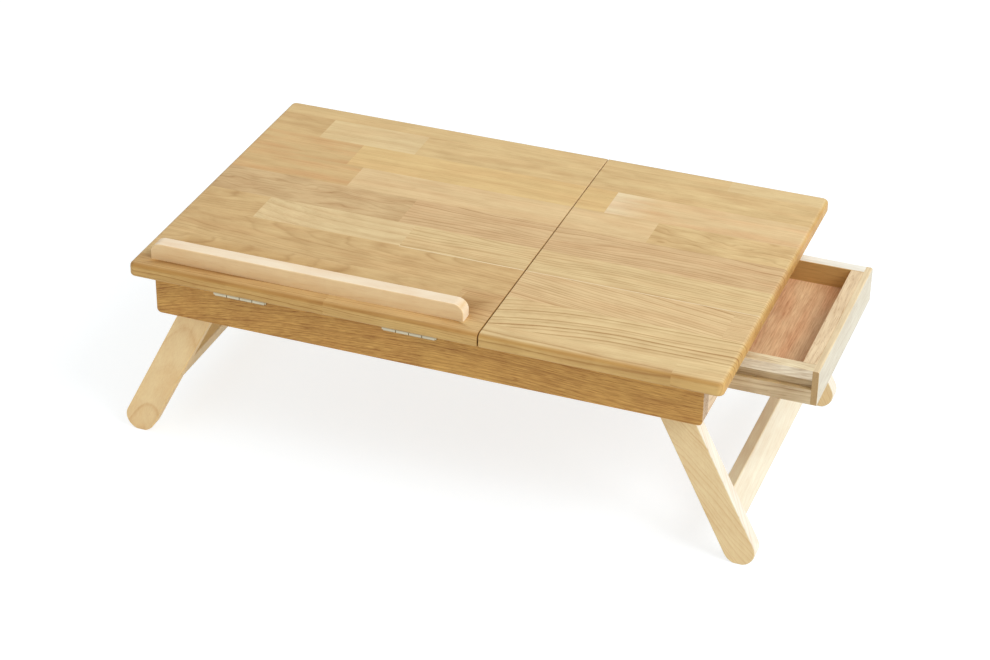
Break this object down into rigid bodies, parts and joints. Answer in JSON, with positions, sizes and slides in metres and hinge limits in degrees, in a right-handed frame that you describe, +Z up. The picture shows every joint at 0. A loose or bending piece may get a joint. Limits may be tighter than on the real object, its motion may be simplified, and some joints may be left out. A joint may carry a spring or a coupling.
{
  "type": "laptop stand with drawer",
  "caption": "Low wooden laptop stand with folding legs, a tilting left panel with a ledge bar, a fixed right panel and a drawer that slides out of the right end.",
  "frame": {"origin": "on the floor, under the middle of the table top", "axes": "+X along the top towards the drawer end, +Y from the ledge bar at the front edge to the back, +Z up"},
  "size_m": [0.7592, 0.42, 0.2548],
  "materials": {
    "oak_top": "edge-glued oak staves, sanded and clear oiled",
    "oak_frame": "planed oak, clear oiled",
    "oak_end_rail": "planed pale oak, clear oiled",
    "birch_legs": "sanded birch, clear lacquer",
    "maple_ledge": "sanded maple, clear lacquer",
    "drawer_oak": "sanded pale oak, unfinished",
    "drawer_face": "sanded pale oak face board",
    "drawer_floor_plywood": "reddish hardwood plywood",
    "beech_runners": "planed beech",
    "beech_dowels": "fluted beech dowel",
    "nickel_hinges": "nickel-plated steel",
    "zinc_screws": "zinc-plated steel",
    "nylon_washers": "natural nylon"
  },
  "bodies": {
    "frame": {"fixed_top_panel": "oak_top", "fixed_panel_dowels": "beech_dowels", "front_apron": "oak_frame", "back_apron": "oak_frame", "left_end_rail": "oak_end_rail", "right_end_rail": "oak_end_rail", "rack_board": "beech_runners", "frame_dowels": "beech_dowels", "frame_leaf_screws": "zinc_screws", "left_hinge_frame_leaf": "nickel_hinges", "right_hinge_frame_leaf": "nickel_hinges", "left_hinge_pin": "zinc_screws", "right_hinge_pin": "zinc_screws", "leg_pivot_screws": "zinc_screws", "leg_washers": "nylon_washers", "drawer_front_guide": "beech_runners", "drawer_rear_guide": "beech_runners", "drawer_front_runner": "beech_runners", "drawer_rear_runner": "beech_runners", "drawer_runner_screws": "zinc_screws"},
    "tilting_top": {"tilting_top_panel": "oak_top", "ledge_bar": "maple_ledge", "ledge_dowels": "beech_dowels", "left_hinge_panel_leaf": "nickel_hinges", "right_hinge_panel_leaf": "nickel_hinges", "panel_leaf_screws": "zinc_screws", "left_prop_bracket": "zinc_screws", "right_prop_bracket": "zinc_screws", "prop_bracket_screws": "zinc_screws", "prop_pin": "zinc_screws"},
    "prop": {"prop_strut": "beech_runners"},
    "drawer": {"drawer_front_panel": "drawer_face", "drawer_inner_front": "drawer_oak", "drawer_back": "drawer_oak", "drawer_front_side": "drawer_oak", "drawer_rear_side": "drawer_oak", "drawer_floor": "drawer_floor_plywood", "drawer_dowels": "beech_dowels", "drawer_stop": "beech_runners", "drawer_stop_screw": "zinc_screws"},
    "left_legs": {"left_front_leg": "birch_legs", "left_rear_leg": "birch_legs", "left_stretcher": "birch_legs", "left_stretcher_dowels": "beech_dowels"},
    "right_legs": {"right_front_leg": "birch_legs", "right_rear_leg": "birch_legs", "right_stretcher": "birch_legs", "right_stretcher_dowels": "beech_dowels"}
  },
  "joints": [
    {"name": "panel_tilt", "type": "hinge", "parent": "frame", "child": "tilting_top", "pos_m": [-0.1059, -0.1978, 0.2137], "axis": [1, 0, 0], "range_deg": [0, 30]},
    {"name": "prop_swing", "type": "hinge", "parent": "tilting_top", "child": "prop", "pos_m": [0, -0.0478, 0.213], "axis": [-1, 0, 0], "range_deg": [0, 80]},
    {"name": "drawer_slide", "type": "slide", "parent": "frame", "child": "drawer", "axis": [1, 0, 0], "range_m": [-0.0965, 0.065]},
    {"name": "left_leg_fold", "type": "hinge", "parent": "frame", "child": "left_legs", "pos_m": [-0.25157, 0, 0.1968], "axis": [0, -1, 0], "range_deg": [0, 117]},
    {"name": "right_leg_fold", "type": "hinge", "parent": "frame", "child": "right_legs", "pos_m": [0.25157, 0, 0.1968], "axis": [0, 1, 0], "range_deg": [0, 117]}
  ],
  "couplings": [
    {"joint": "prop_swing", "follows": "panel_tilt", "ratio": 2.6369}
  ]
}
